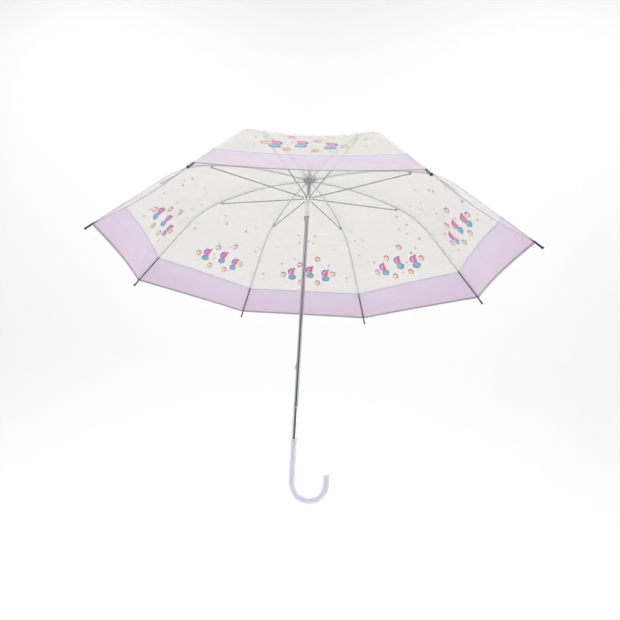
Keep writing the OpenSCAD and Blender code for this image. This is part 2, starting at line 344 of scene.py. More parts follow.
class Field:
    """A shader socket that takes part in arithmetic."""

    def __init__(self, graph: Graph, socket: bpy.types.NodeSocket) -> None:
        """Keeps the socket and the graph it is in."""
        self.graph = graph
        self.socket = socket

    def _math(self, operation: str, *others: Operand, clamp: bool = False) -> Field:
        """Adds a Math node on this value and others.

        Args:
            operation: the node's operation.
            others: its other values.
            clamp: whether it is held between 0 and 1.

        Returns:
            The result.
        """
        node = self.graph.node(
            "ShaderNodeMath",
            {"operation": operation, "use_clamp": clamp},
            {i: v for i, v in enumerate((self, *others))},
        )
        return self.graph.out(node)

    def _flip(self, operation: str, first: Operand) -> Field:
        """Adds a Math node whose first value is another, for reflected forms.

        Args:
            operation: the node's operation.
            first: its first value.

        Returns:
            The result.
        """
        node = self.graph.node(
            "ShaderNodeMath", {"operation": operation}, {0: first, 1: self}
        )
        return self.graph.out(node)

    def __add__(self, other: Operand) -> Field:
        """Sum."""
        return self._math("ADD", other)

    def __radd__(self, other: Operand) -> Field:
        """Sum, reflected."""
        return self._flip("ADD", other)

    def __sub__(self, other: Operand) -> Field:
        """Difference."""
        return self._math("SUBTRACT", other)

    def __rsub__(self, other: Operand) -> Field:
        """Difference, reflected."""
        return self._flip("SUBTRACT", other)

    def __mul__(self, other: Operand) -> Field:
        """Product."""
        return self._math("MULTIPLY", other)

    def __rmul__(self, other: Operand) -> Field:
        """Product, reflected."""
        return self._flip("MULTIPLY", other)

    def __pow__(self, other: Operand) -> Field:
        """Power."""
        return self._math("POWER", other)

    def __abs__(self) -> Field:
        """Size without its sign."""
        return self._math("ABSOLUTE")

    def sin(self) -> Field:
        """Sine of the value, in radians."""
        return self._math("SINE")

    def clamp(self) -> Field:
        """The value held between 0 and 1."""
        return self._math("ADD", 0.0, clamp=True)

    def step(self, low: float, high: float) -> Field:
        """Smooth step from 0 at low to 1 at high.

        Args:
            low: where the step starts; it may be above high, for a falling step.
            high: where it ends.

        Returns:
            The stepped value.
        """
        node = self.graph.node(
            "ShaderNodeMapRange",
            {"interpolation_type": "SMOOTHSTEP"},
            {"Value": self, "From Min": low, "From Max": high},
        )
        return self.graph.out(node)


Operand = Field | float


@dataclass
class Finish:
    """Constant settings of a material's surface."""

    colour: Colour
    roughness: float = 0.4
    metallic: float = 0.0
    coat: float = 0.0
    transmission: float = 0.0
    ior: float = 1.5
    subsurface: float = 0.0


class Graph:
    """The node tree of one material."""

    def __init__(self, name: str, finish: Finish) -> None:
        """Starts a material with a Principled surface.

        Args:
            name: the material's name.
            finish: its constants.
        """
        self.material = bpy.data.materials.new(name)
        self.material.use_nodes = True
        self.tree = self.material.node_tree
        self.tree.nodes.clear()
        self.surface = self.node(
            "ShaderNodeBsdfPrincipled",
            {},
            {
                "Base Color": (*finish.colour, 1.0),
                "Roughness": finish.roughness,
                "Metallic": finish.metallic,
                "Coat Weight": finish.coat,
                "Transmission Weight": finish.transmission,
                "IOR": finish.ior,
                "Subsurface Weight": finish.subsurface,
            },
        )
        output = self.node("ShaderNodeOutputMaterial", {}, {})
        self.tree.links.new(self.surface.outputs[0], output.inputs[0])

    def node(
        self, kind: str, settings: dict[str, object], inputs: dict[object, object]
    ) -> bpy.types.Node:
        """Adds a node.

        Args:
            kind: the node's type.
            settings: its properties.
            inputs: its inputs by name or place; a Field is linked, a value is set.

        Returns:
            The node.
        """
        node = self.tree.nodes.new(kind)
        for key, value in settings.items():
            setattr(node, key, value)
        for key, value in inputs.items():
            if isinstance(value, Field):
                self.tree.links.new(value.socket, node.inputs[key])
            else:
                node.inputs[key].default_value = value
        return node

    def out(self, node: bpy.types.Node, key: int | str = 0) -> Field:
        """A node's output as a field."""
        return Field(self, node.outputs[key])

    def place(self, stretch: Sequence[float] = (1.0, 1.0, 1.0)) -> Field:
        """Coordinates in the object's own frame, stretched."""
        at = self.out(self.node("ShaderNodeTexCoord", {}, {}), "Object")
        return self.vector("MULTIPLY", at, tuple(stretch))

    def vector(self, operation: str, first: object, second: object) -> Field:
        """Vector Math of two vectors.

        Args:
            operation: the node's operation.
            first: its first vector.
            second: its second vector.

        Returns:
            The result.
        """
        node = self.node(
            "ShaderNodeVectorMath", {"operation": operation}, {0: first, 1: second}
        )
        return self.out(node)

    def axes(self) -> tuple[Field, Field, Field]:
        """The three coordinates of the place, each on its own."""
        node = self.node("ShaderNodeSeparateXYZ", {}, {0: self.place()})
        return self.out(node, "X"), self.out(node, "Y"), self.out(node, "Z")

    def uv(self) -> tuple[Field, Field]:
        """The two surface coordinates, in metres."""
        at = self.out(self.node("ShaderNodeUVMap", {"uv_map": "UVMap"}, {}))
        node = self.node("ShaderNodeSeparateXYZ", {}, {0: at})
        return self.out(node, "X"), self.out(node, "Y")

    def noise(
        self,
        scale: float,
        detail: float = 3.0,
        stretch: Sequence[float] = (1.0, 1.0, 1.0),
    ) -> Field:
        """Noise from 0 to 1 in object coordinates.

        Args:
            scale: waves per metre.
            detail: how many finer layers.
            stretch: scale of each axis.

        Returns:
            The noise.
        """
        node = self.node(
            "ShaderNodeTexNoise",
            {},
            {"Vector": self.place(stretch), "Scale": scale, "Detail": detail},
        )
        return self.out(node, "Fac")

    def mix(self, share: Operand, first: object, second: object) -> Field:
        """Mixes two colours.

        Args:
            share: how much of the second.
            first: a field or a colour.
            second: a field or a colour.

        Returns:
            The mixed colour.
        """
        pair = [v if isinstance(v, Field) else (*v, 1.0) for v in (first, second)]
        node = self.node(
            "ShaderNodeMix",
            {"data_type": "RGBA", "blend_type": "MIX"},
            {0: share, 6: pair[0], 7: pair[1]},
        )
        return self.out(node, 2)

    def bump(self, height: Field, distance: float, strength: float = 1.0) -> None:
        """Drives the surface normal from a height, whose step is distance metres.

        Args:
            height: the height, from 0 to 1.
            distance: what 1 stands for, in metres.
            strength: how much of it shows.
        """
        node = self.node(
            "ShaderNodeBump",
            {},
            {"Strength": strength, "Distance": distance, "Height": height},
        )
        self.set("Normal", self.out(node))

    def set(self, name: str, value: Field) -> None:
        """Drives one input of the surface."""
        self.tree.links.new(value.socket, self.surface.inputs[name])


# ---------------------------------------------------------------- materials


class Finishes:
    """Makes and keeps the materials."""

    def __init__(self) -> None:
        """Lists the makers; nothing is made yet."""
        self._made: dict[str, bpy.types.Material] = {}
        self._makers: dict[str, Callable[[], Graph]] = {
            "clear_vinyl": self._clear_vinyl,
            "band_vinyl": self._band_vinyl,
            "hem_fold": self._hem_fold,
            "border_seam": self._border_seam,
            "print_pink": lambda: self._ink("print_pink", (0.84, 0.13, 0.40)),
            "print_teal": lambda: self._ink("print_teal", (0.10, 0.58, 0.74)),
            "print_purple": lambda: self._ink("print_purple", (0.20, 0.07, 0.52)),
            "print_bubble": self._bubble_ink,
            "print_dot": lambda: self._ink("print_dot", (0.62, 0.18, 0.30), 0.75),
            "rib_rod": self._rib_rod,
            "clip": self._clip,
            "rivet": lambda: self._metal("rivet", (0.10, 0.10, 0.11), 0.35, 40.0),
            "tip": self._tip,
            "stretcher": self._stretcher,
            "shaft": self._shaft,
            "collar": self._collar,
            "wire": lambda: self._metal("wire", (0.62, 0.62, 0.64), 0.3, 60.0),
            "catch": lambda: self._metal("catch", (0.55, 0.55, 0.57), 0.32, 25.0),
            "crown": self._crown,
            "ferrule": self._ferrule,
            "cap": self._cap,
            "runner": self._runner,
            "handle": self._handle,
        }

    def get(self, name: str) -> bpy.types.Material:
        """The material of that name, made when first asked for.

        Args:
            name: the material's name.

        Returns:
            The material.
        """
        if name not in self._made:
            self._made[name] = self._makers[name]().material
        return self._made[name]

    def _film(self, name: str, finish: Finish) -> Graph:
        """A film whose long waves catch the light.

        Args:
            name: the material's name.
            finish: its constant values.

        Returns:
            The graph, whose tint and alpha are still to be set.
        """
        g = Graph(name, finish)
        g.material.use_transparency_overlap = True
        wave = g.noise(9.0, 2.0) + g.noise(30.0, 2.0) * 0.2
        g.bump(wave, 0.006, 0.45)
        return g

    def _clear_vinyl(self) -> Graph:
        """Clear film, hazier at its weld and edge-on."""
        g = self._film("clear_vinyl", Finish((0.80, 0.79, 0.78), 0.16, coat=0.25))
        across, _ = g.uv()
        weld = across.step(*WELD)
        glance = g.out(g.node("ShaderNodeLayerWeight", {}, {"Blend": GLANCE}), "Facing")
        cloud = g.noise(6.0, 4.0)
        haze = 0.36 + cloud * 0.12 + weld * 0.22 + glance * 0.30
        g.set("Alpha", haze.clamp())
        tint = g.mix(cloud, (0.57, 0.53, 0.47), (0.67, 0.645, 0.60))
        g.set("Base Color", g.mix(weld * 0.6, tint, (0.86, 0.86, 0.88)))
        g.set("Roughness", 0.10 + cloud * 0.12 + weld * 0.1)
        return g

    def _band_vinyl(self) -> Graph:
        """Tinted border film, deeper towards the hem."""
        g = self._film("band_vinyl", Finish((0.75, 0.60, 0.78), 0.2, coat=0.25))
        across, rise = g.uv()
        share = rise.step(*BAND)
        weld = across.step(*WELD)
        cloud = g.noise(8.0, 3.0)
        tint = g.mix(share, (0.62, 0.42, 0.62), (0.56, 0.43, 0.64))
        tint = g.mix(cloud * 0.35, tint, (0.64, 0.51, 0.66))
        g.set("Base Color", g.mix(weld * 0.4, tint, (0.72, 0.62, 0.78)))
        g.set("Alpha", (0.74 - share * 0.10 + weld * 0.12 + cloud * 0.06).clamp())
        g.set("Roughness", 0.16 + cloud * 0.14)
        return g

    def _hem_fold(self) -> Graph:
        """Folded hem with its stitches."""
        g = Graph("hem_fold", Finish((0.40, 0.32, 0.42), 0.35, coat=0.2))
        along, _ = g.uv()
        stitch = (along * STITCHES).sin().step(0.2, 0.7)
        g.set("Base Color", g.mix(stitch * 0.5, (0.34, 0.27, 0.36), (0.58, 0.48, 0.60)))
        g.set("Roughness", 0.28 + g.noise(90.0) * 0.2)
        g.bump(stitch, 0.0003, 0.6)
        return g

    def _border_seam(self) -> Graph:
        """Pale welded line along the border."""
        g = Graph("border_seam", Finish((0.62, 0.54, 0.80), 0.3, coat=0.2))
        _, over = g.uv()
        line = abs(over - 0.5).step(0.42, 0.30)
        tint = g.mix(line, (0.58, 0.50, 0.76), (0.84, 0.80, 1.0))
        g.set("Base Color", tint)
        g.set("Alpha", 0.55 + g.noise(60.0) * 0.3)
        g.bump(g.noise(400.0, 2.0), 0.0002, 0.5)
        return g

    def _ink(self, name: str, colour: Colour, cover: float = 0.86) -> Graph:
        """Printed ink with grain and a paler wash.

        Args:
            name: the material's name.
            colour: the ink's colour.
            cover: how far it hides the film.

        Returns:
            The graph.
        """
        g = Graph(name, Finish(colour, 0.35))
        grain = g.noise(420.0, 2.0)
        wash = g.noise(70.0, 3.0)
        pale = tuple(0.55 * c + 0.42 for c in colour)
        g.set("Base Color", g.mix(wash.step(0.35, 0.75) * 0.5, colour, pale))
        g.set("Alpha", (cover - 0.12 + grain * 0.18).clamp())
        g.set("Roughness", 0.28 + grain * 0.2)
        return g

    def _bubble_ink(self) -> Graph:
        """Printed bubble: a rainbow rim and a small shine."""
        g = Graph("print_bubble", Finish((0.9, 0.7, 0.8), 0.3))
        x, y = g.uv()
        radius = (x * x + y * y) ** 0.5
        rim = radius.step(0.52, 0.74) * radius.step(1.0, 0.95)
        turn = x.step(-0.8, 0.8)
        tint = g.mix(turn, (0.84, 0.22, 0.42), (0.88, 0.74, 0.16))
        tint = g.mix(y.step(0.1, 0.9), tint, (0.34, 0.20, 0.66))
        shine = ((x + 0.3) * (x + 0.3) + (y - 0.35) * (y - 0.35)).step(0.03, 0.015)
        g.set("Base Color", g.mix(shine, tint, (0.95, 0.95, 0.97)))
        g.set("Alpha", (rim * 0.92 + shine * 0.8 + 0.16).clamp())
        g.set("Roughness", 0.25 + g.noise(300.0) * 0.15)
        return g

    def _metal(
        self, name: str, colour: Colour, roughness: float, stretch: float
    ) -> Graph:
        """Drawn or ground metal with streaks along Z.

        Args:
            name: the material's name.
            colour: the metal's colour.
            roughness: its middle roughness.
            stretch: how long the streaks are.

        Returns:
            The graph.
        """
        g = Graph(name, Finish(colour, roughness, metallic=1.0))
        streak = g.noise(900.0, 2.0, (1.0, 1.0, 1.0 / stretch))
        soil = g.noise(35.0, 3.0)
        dull = tuple(0.62 * c for c in colour)
        g.set("Base Color", g.mix(soil.step(0.5, 0.8) * 0.5, colour, dull))
        g.set("Roughness", roughness - 0.06 + streak * 0.14 + soil * 0.05)
        g.bump(streak, 0.00004, 0.4)
        return g

    def _shaft(self) -> Graph:
        """Drawn steel, rubbed where the runner slides."""
        g = self._metal("shaft", (0.47, 0.48, 0.49), 0.14, 80.0)
        _, _, height = g.axes()
        rub = g.noise(120.0, 3.0, (1.0, 1.0, 0.05)) * height.step(*RUB)
        g.set("Roughness", 0.10 + rub * 0.16 + g.noise(700.0, 2.0) * 0.05)
        return g

    def _collar(self) -> Graph:
        """Polished collar with faint hand marks."""
        g = self._metal("collar", (0.86, 0.86, 0.88), 0.07, 6.0)
        marks = g.noise(60.0, 4.0, (1.0, 1.0, 0.3)).step(0.55, 0.75)
        g.set("Roughness", 0.05 + marks * 0.10)
        return g

    def _rib_rod(self) -> Graph:
        """Fibreglass rod with streaks and a dark end."""
        g = Graph("rib_rod", Finish((0.48, 0.53, 0.47), 0.32, coat=0.3))
        _, length = g.uv()
        streak = g.noise(260.0, 3.0, (1.0, 1.0, 1.0))
        fibre = (length * FIBRES + streak * 9.0).sin().step(-0.6, 0.9)
        light = g.mix(fibre * 0.4, (0.60, 0.66, 0.59), (0.48, 0.54, 0.48))
        dark = length.step(*DARK_END)
        g.set("Base Color", g.mix(dark, light, (0.075, 0.065, 0.06)))
        g.set("Roughness", 0.26 + streak * 0.2)
        g.bump(streak, 0.00008, 0.4)
        return g

    def _clip(self) -> Graph:
        """Moulded white clip, slightly soiled."""
        g = Graph("clip", Finish((0.74, 0.75, 0.72), 0.34, subsurface=0.05))
        grain = g.noise(800.0, 2.0)
        soil = g.noise(140.0, 3.0)
        g.set("Base Color", g.mix(soil.step(0.4, 0.8), (0.78, 0.79, 0.76), (0.62, 0.63, 0.6)))
        g.set("Roughness", 0.28 + grain * 0.16)
        g.bump(grain, 0.00006, 0.5)
        return g

    def _tip(self) -> Graph:
        """Black moulded cap, scuffed."""
        g = Graph("tip", Finish((0.016, 0.016, 0.018), 0.25, coat=0.4))
        grain = g.noise(900.0, 2.0)
        scuff = g.noise(180.0, 4.0).step(0.58, 0.75)
        g.set("Base Color", g.mix(scuff * 0.5, (0.016, 0.016, 0.018), (0.09, 0.09, 0.09)))
        g.set("Roughness", 0.2 + scuff * 0.25 + grain * 0.08)
        g.bump(grain, 0.00004, 0.5)
        return g

    def _stretcher(self) -> Graph:
        """Coated steel rod."""
        g = Graph("stretcher", Finish((0.12, 0.15, 0.14), 0.36, metallic=0.35, coat=0.2))
        grain = g.noise(500.0, 3.0)
        soil = g.noise(40.0, 3.0)
        g.set("Base Color", g.mix(soil.step(0.35, 0.8), (0.24, 0.30, 0.27), (0.36, 0.42, 0.385)))
        g.set("Roughness", 0.28 + grain * 0.2)
        g.bump(grain, 0.00006, 0.5)
        return g

    def _crown(self) -> Graph:
        """Grey moulded hub."""
        g = Graph("crown", Finish((0.13, 0.14, 0.15), 0.42))
        grain = g.noise(900.0, 2.0)
        g.set("Base Color", g.mix(g.noise(160.0), (0.44, 0.45, 0.48), (0.56, 0.57, 0.61)))
        g.set("Roughness", 0.34 + grain * 0.2)
        g.bump(grain, 0.0001, 0.5)
        return g

    def _ferrule(self) -> Graph:
        """Pale moulded pin, scuffed."""
        g = Graph("ferrule", Finish((0.62, 0.60, 0.63), 0.28, coat=0.3))
        scuff = g.noise(90.0, 4.0).step(0.5, 0.8)
        g.set("Base Color", g.mix(scuff * 0.4, (0.66, 0.64, 0.68), (0.46, 0.44, 0.47)))
        g.set("Roughness", 0.22 + scuff * 0.2)
        g.bump(g.noise(700.0, 2.0), 0.00005, 0.4)
        return g

    def _cap(self) -> Graph:
        """Milky vinyl cap."""
        g = Graph("cap", Finish((0.62, 0.55, 0.72), 0.24, coat=0.3))
        cloud = g.noise(60.0, 3.0)
        g.set("Base Color", g.mix(cloud, (0.66, 0.58, 0.74), (0.56, 0.50, 0.68)))
        g.set("Alpha", 0.62 + cloud * 0.25)
        g.set("Roughness", 0.18 + cloud * 0.15)
        g.bump(g.noise(240.0, 3.0), 0.0003, 0.5)
        return g

    def _runner(self) -> Graph:
        """Ivory moulded runner, with painted shade near black in its bore."""
        g = Graph("runner", Finish((0.80, 0.77, 0.64), 0.26, coat=0.25, subsurface=0.06))
        soil = g.noise(45.0, 4.0)
        rub = g.noise(300.0, 2.0, (1.0, 1.0, 0.08))
        tint = g.mix(soil.step(0.35, 0.75), (0.95, 0.94, 0.87), (0.86, 0.85, 0.77))
        x, y, _ = g.axes()
        # Painted shade: near black inside the bore's radius, where the bore lies in shade.
        bore = ((x * x + y * y) ** 0.5).step(*BORE_SHADE)
        tint = g.mix(rub.step(0.55, 0.8) * 0.3, tint, (0.97, 0.95, 0.88))
        g.set("Base Color", g.mix(bore, tint, (0.03, 0.03, 0.03)))
        g.set("Roughness", 0.18 + rub * 0.16)
        g.bump(rub + g.noise(700.0, 2.0) * 0.5, 0.00006, 0.5)
        return g

    def _handle(self) -> Graph:
        """Milky lilac plastic with small bubbles in it."""
        g = Graph(
            "handle",
            Finish((0.80, 0.78, 0.94), 0.10, coat=0.4, transmission=0.12, ior=1.46, subsurface=0.15),
        )
        cloud = g.noise(30.0, 4.0)
        bubbles = g.noise(260.0, 2.0).step(0.68, 0.76)
        tint = g.mix(cloud, (0.80, 0.79, 0.97), (0.87, 0.86, 1.0))
        g.set("Base Color", g.mix(bubbles * 0.4, tint, (0.97, 0.97, 1.0)))
        g.set("Roughness", 0.08 + cloud * 0.12)
        g.bump(g.noise(60.0, 2.0), 0.00012, 0.25)
        return g


# ---------------------------------------------------------------- mesh helpers


@dataclass
class MeshData:
    """Points, faces, surface coordinates and material places of a mesh being built."""

    points: list[Vector] = field(default_factory=list)
    faces: list[tuple[int, ...]] = field(default_factory=list)
    uvs: list[Point2] = field(default_factory=list)
    slots: list[int] = field(default_factory=list)

    def add(self, point: Vector, uv: Point2 = (0.0, 0.0)) -> int:
        """Adds a point with its surface coordinate and returns its place.

        Args:
            point: the point, in metres.
            uv: its surface coordinate.

        Returns:
            The point's place in the list.
        """
        self.points.append(point)
        self.uvs.append(uv)
        return len(self.points) - 1

    def face(self, *places: int, slot: int = 0) -> None:
        """Adds a face on these points."""
        self.faces.append(places)
        self.slots.append(slot)

    def grid(self, rows: int, cols: int, first: int, closed: bool = False) -> None:
        """Joins rows of points to quads.

        Args:
            rows: how many rows of points.
            cols: how many points in a row.
            first: the place of the first point.
            closed: whether each row is a ring.
        """
        for i in range(rows - 1):
            for j in range(cols if closed else cols - 1):
                k = (j + 1) % cols
                a, b = first + i * cols, first + (i + 1) * cols
                self.face(a + j, a + k, b + k, b + j)

    def area(self) -> float:
        """Area of all quads and triangles, in square metres."""
        total = 0.0
        for f in self.faces:
            p = [self.points[i] for i in f]
            for a, b in zip(p[1:], p[2:]):
                total += (a - p[0]).cross(b - p[0]).length / 2
        return total

    def build(self, name: str, materials: Sequence[bpy.types.Material]) -> bpy.types.Object:
        """Makes the object.

        Args:
            name: the object's name.
            materials: its materials, by slot.

        Returns:
            The object, smooth shaded.
        """
        mesh = bpy.data.meshes.new(name)
        mesh.from_pydata([tuple(p) for p in self.points], [], self.faces)
        for m in materials:
            mesh.materials.append(m)
        mesh.polygons.foreach_set("material_index", self.slots)
        mesh.polygons.foreach_set("use_smooth", [True] * len(self.faces))
        layer = mesh.uv_layers.new(name="UVMap")
        for loop in mesh.loops:
            layer.data[loop.index].uv = self.uvs[loop.vertex_index]
        mesh.validate()
        mesh.update()
        made = bpy.data.objects.new(name, mesh)
        bpy.context.scene.collection.objects.link(made)
        LOG.info("%s: %d faces", name, len(self.faces))
        return made


def sweep(
    data: MeshData,
    path: Sequence[Vector],
    sides: int,
    radius: Callable[[float, float], float],
    flat: float = 1.0,
    up: Vector | None = None,
    caps: bool = True,
    start: float = 0.0,
) -> None:
    """Sweeps a round or flattened section along a path.

    Args:
        data: the mesh to add to.
        path: points in metres.
        sides: points round the section.
        radius: radius in metres from the distance along and the angle round.
        flat: height of the section as a share of its width.
        up: the section's height direction at the start; it is carried along.
        caps: whether the ends are closed.
        start: distance along at the first point.
    """
    first = len(data.points)
    run = start
    normal = up
    for i, at in enumerate(path):
        ahead = (path[min(i + 1, len(path) - 1)] - path[max(i - 1, 0)]).normalized()
        if normal is None:
            normal = ahead.orthogonal()
        normal = (normal - ahead * normal.dot(ahead)).normalized()
        wide = ahead.cross(normal)
        if i:
            run += (at - path[i - 1]).length
        for j in range(sides):
            a = math.tau * j / sides
            r = radius(run, a)
            data.add(at + wide * (r * math.cos(a)) + normal * (r * flat * math.sin(a)), (j / sides, run))
    data.grid(len(path), sides, first, closed=True)
    if caps:
        last = len(data.points) - sides
        data.face(*reversed(range(first, first + sides)))
        data.face(*range(last, last + sides))


def lathe(
    data: MeshData, profile: Sequence[Point2], sides: int, wave: Callable[[float, float], float] | None = None
) -> None:
    """Turns a closed profile of radius and height round the Z axis.

    Args:
        data: the mesh to add to.
        profile: the closed profile in millimetres.
        sides: steps round.
        wave: height to add in millimetres, from radius and angle.
    """
    first = len(data.points)
    for j in range(sides):
        a = math.tau * j / sides
        for r, z in profile:
            up = wave(r, a) if wave else 0.0
            data.add(Vector((r * math.cos(a), r * math.sin(a), z + up)) * MM, (a, r * MM))
    n = len(profile)
    for j in range(sides):
        k = (j + 1) % sides
        for i in range(n):
            m = (i + 1) % n
            data.face(first + j * n + i, first + k * n + i, first + k * n + m, first + j * n + m)


# ---------------------------------------------------------------- canopy


class PanelSurface:
    """The surface of half a canopy panel, from its rib to its middle line."""

    def __init__(self, line: RibLine, sizes: SheetSizes, index: int, side: Side) -> None:
        """Places the surface.

        Args:
            line: the rib's centreline.
            sizes: the sheet's sizes.
            index: the rib, from 1.
            side: which side of the rib.
        """
        self.line, self.sizes, self.index, self.side = line, sizes, index, side
        self.edge_l = line.length - sizes.corner_inset / math.cos(line.outer)
        self.start_l = sizes.hole_r - line.sizes.pivot_r
        self.lift = line.sizes.rod_d / 2 + sizes.gap
        self.random = random.Random(index * 2 + side.value)
        self.phase = [self.random.uniform(0, math.tau) for _ in range(4)]

    def hem_l(self, v: float) -> float:
        """Length from the crown pivot to the hem."""
        return self.edge_l - self.sizes.hem_bow * v * (2 - v)

    def half_width(self, length: float) -> float:
        """Distance from the rib to the middle line at a length."""
        return self.line.point_at(length)[0] * math.sin(HALF)

    def point(self, length: float, v: float, rise: float = 0.0) -> Vector:
        """Point of the sheet.

        Args:
            length: length from the crown pivot, along the rib.
            v: 0 at the rib, 1 at the middle line.
            rise: distance outside the middle of the sheet.

        Returns:
            The point in the row frame, in metres.
        """
        s = self.sizes
        u = (length - self.start_l) / (self.hem_l(v) - self.start_l)
        p, slope = self.line.point_at(length), self.line.slope_at(length)
        n = RibLine.above(slope)
        dip = s.sag * math.sin(math.pi / 2 * min(1.0, max(0.0, u) / s.sag_full))
        off = self.lift + s.thickness / 2 + rise - dip * v * (2 - v)
        off += self._ripple(u, v)
        qr, qz = p[0] + off * n[0], p[1] + off * n[1]
        edge = s.seam_gap / qr
        w = edge + (1 - edge) * v
        ax, mx = qr, qr * math.cos(HALF) ** 2
        my = qr * math.cos(HALF) * math.sin(HALF)
        x, y = ax + (mx - ax) * w, self.side.value * my * w
        a = rib_angle(self.index)
        return Vector((x * math.cos(a) - y * math.sin(a), x * math.sin(a) + y * math.cos(a), qz)) * MM

    def _ripple(self, u: float, v: float) -> float:
        """Height of the small waves of the sheet.

        Args:
            u: share along the sheet.
            v: share across it.

        Returns:
            The height in millimetres.
        """
        a, b, c, d = self.phase
        body = math.sin(math.pi * min(1.0, v * 1.2)) * math.sin(math.pi * min(1.0, max(0.0, u)))
        wave = math.sin(7.0 * u + 3.0 * v + a) + 0.6 * math.sin(17.0 * u - 5.0 * v + b)
        pull = math.sin(26.0 * v + 4.0 * u + c) * math.exp(-12.0 * (1 - u))
        pull += 0.5 * math.sin(19.0 * v + d) * math.exp(-9.0 * u)
        return self.sizes.ripple * (body * wave + v * (1 - v) * 4 * pull * 0.5)

    def on_sheet(self, across: float, rise: float, lift: float) -> Vector:
        """Point given by its distance from the middle line and from the hem.

        Args:
            across: distance from the panel's middle line.
            rise: distance up from the hem.
            lift: distance outside the sheet.

        Returns:
            The point in metres.
        """
        v = 1.0
        for _ in range(3):
            length = self.hem_l(v) - rise
            v = 1 - abs(across) / self.half_width(length)
        return self.point(length, v, lift)


class Canopy:
    """Builds the panels with their border, hem, seam and prints."""

    def __init__(self, line: RibLine, finishes: Finishes) -> None:
        """Keeps what each panel needs.

        Args:
            line: the rib's centreline.
            finishes: the materials.
        """
        self.line, self.finishes = line, finishes
        self.sheet, self.trim, self.prints = SheetSizes(), TrimSizes(), PrintSizes()

    def build(self) -> None:
        """Makes all sixteen half panels and what is on them."""
        for index in range(1, RIBS + 1):
            for side in Side:
                self._half_panel(PanelSurface(self.line, self.sheet, index, side))
        self._cap()

    def _half_panel(self, surface: PanelSurface) -> None:
        """Makes one half panel with its hem, seam and prints.

        Args:
            surface: where the half panel lies.
        """
        name = f"{surface.side.name.lower()}_{surface.index}"
        node = f"panel_{name}"
        data = self._sheet_mesh(surface)
        area = data.area()
        looks = [self.finishes.get("clear_vinyl"), self.finishes.get("band_vinyl")]
        cloth = data.build(f"film_{name}", looks)
        extras = [self._hem(surface, name), self._seam(surface, name), self._motifs(surface, name)]
        c = in_plane(surface.index, (self.line.sizes.pivot_r, self.line.sizes.pivot_z))
        corner, middle = surface.point(surface.hem_l(0), 0.0), surface.point(surface.hem_l(1), 1.0)
        for piece in (cloth, *extras):
            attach(piece, node)
            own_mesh(piece)
        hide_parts(node)
        width = surface.half_width(surface.edge_l) * MM * 1.01

    def _sheet_mesh(self, surface: PanelSurface) -> MeshData:
        """The sheet's own mesh, clear part first.

        Args:
            surface: where the half panel lies.

        Returns:
            The mesh data.
        """
        s = self.sheet
        data = MeshData()
        shares = [i / s.rows for i in range(s.rows)] + [1 + i / s.band_rows for i in range(s.band_rows + 1)]
        for share in shares:
            for j in range(s.cols + 1):
                v = j / s.cols
                hem, band = surface.hem_l(v), surface.hem_l(v) - s.band_w
                if share <= 1:
                    length = surface.start_l + (band - surface.start_l) * share
                else:
                    length = band + (hem - band) * (share - 1)
                aside = surface.half_width(length) * v * MM
                data.add(surface.point(length, v), (aside, (hem - length) * MM))
        data.grid(len(shares), s.cols + 1, 0)
        split = s.rows * s.cols
        data.slots = [0] * split + [1] * (len(data.faces) - split)
        return data

    def _hem(self, surface: PanelSurface, name: str) -> bpy.types.Object:
        """The folded edge.

        Args:
            surface: where the half panel lies.
            name: its side and number.

        Returns:
            The piece.
        """
        t = self.trim
        data = MeshData()
        steps = t.steps
        inner = t.hem_w / 2
        path = [surface.point(surface.hem_l(j / steps) - inner, j / steps) for j in range(steps + 1)]
        up = surface.point(surface.hem_l(0), 0.0, 1.0) - surface.point(surface.hem_l(0), 0.0)
        sweep(data, path, 12, lambda run, a: t.hem_w / 2 * MM, t.hem_t / t.hem_w, up)
        data.uvs = [(y, x) for x, y in data.uvs]
        return data.build(f"hem_{name}", [self.finishes.get("hem_fold")])

    def _seam(self, surface: PanelSurface, name: str) -> bpy.types.Object:
        """The line where the border is welded on.

        Args:
            surface: where the half panel lies.
            name: its side and number.

        Returns:
            The piece.
        """
        t, s = self.trim, self.sheet
        data = MeshData()
        steps, over = t.steps, t.seam_over
        for k in range(over):
            aside = t.seam_w * (k / (over - 1) - 0.5)
            swell = t.seam_t * math.sin(math.pi * k / (over - 1))
            for j in range(steps + 1):
                v = j / steps
                length = surface.hem_l(v) - s.band_w + aside
                data.add(surface.point(length, v, t.seam_lift + swell), (v, k / (over - 1)))
        data.grid(over, steps + 1, 0)
        return data.build(f"seam_{name}", [self.finishes.get("border_seam")])

    def _motifs(self, surface: PanelSurface, name: str) -> bpy.types.Object:
        """The prints, on both faces of the film.

        Args:
            surface: where the half panel lies.
            name: its side and number.

        Returns:
            The piece.
        """
        p = self.prints
        data = MeshData()
        left = surface.side is Side.LEFT
        dots: list[tuple[Point2, float]] = []
        for k in range(p.dots):
            up = p.dots_from + p.dots_reach * (k + surface.random.random()) / p.dots
            room = surface.half_width(surface.edge_l - up) - p.dots_inset[1]
            across = surface.random.uniform(p.dots_inset[0], room) * (-1 if left else 1)
            dots.append(((across, up), p.dot_d * surface.random.uniform(0.6, 1.0) / 2))
        for rise in (-p.rise, p.rise):
            for across, up in p.motifs_left if left else p.motifs_right:
                self._motif(data, surface, across, p.motif_rise + up, rise)
            for at in p.bubbles_left if left else p.bubbles_right:
                self._disc(data, surface, at, (p.bubble_d / 2,) * 2, 0.0, 3, rise)
            for at, d in dots:
                self._disc(data, surface, at, (d, d), 0.0, 4, rise)
        names = ("print_pink", "print_teal", "print_purple", "print_bubble", "print_dot")
        return data.build(f"print_{name}", [self.finishes.get(n) for n in names])

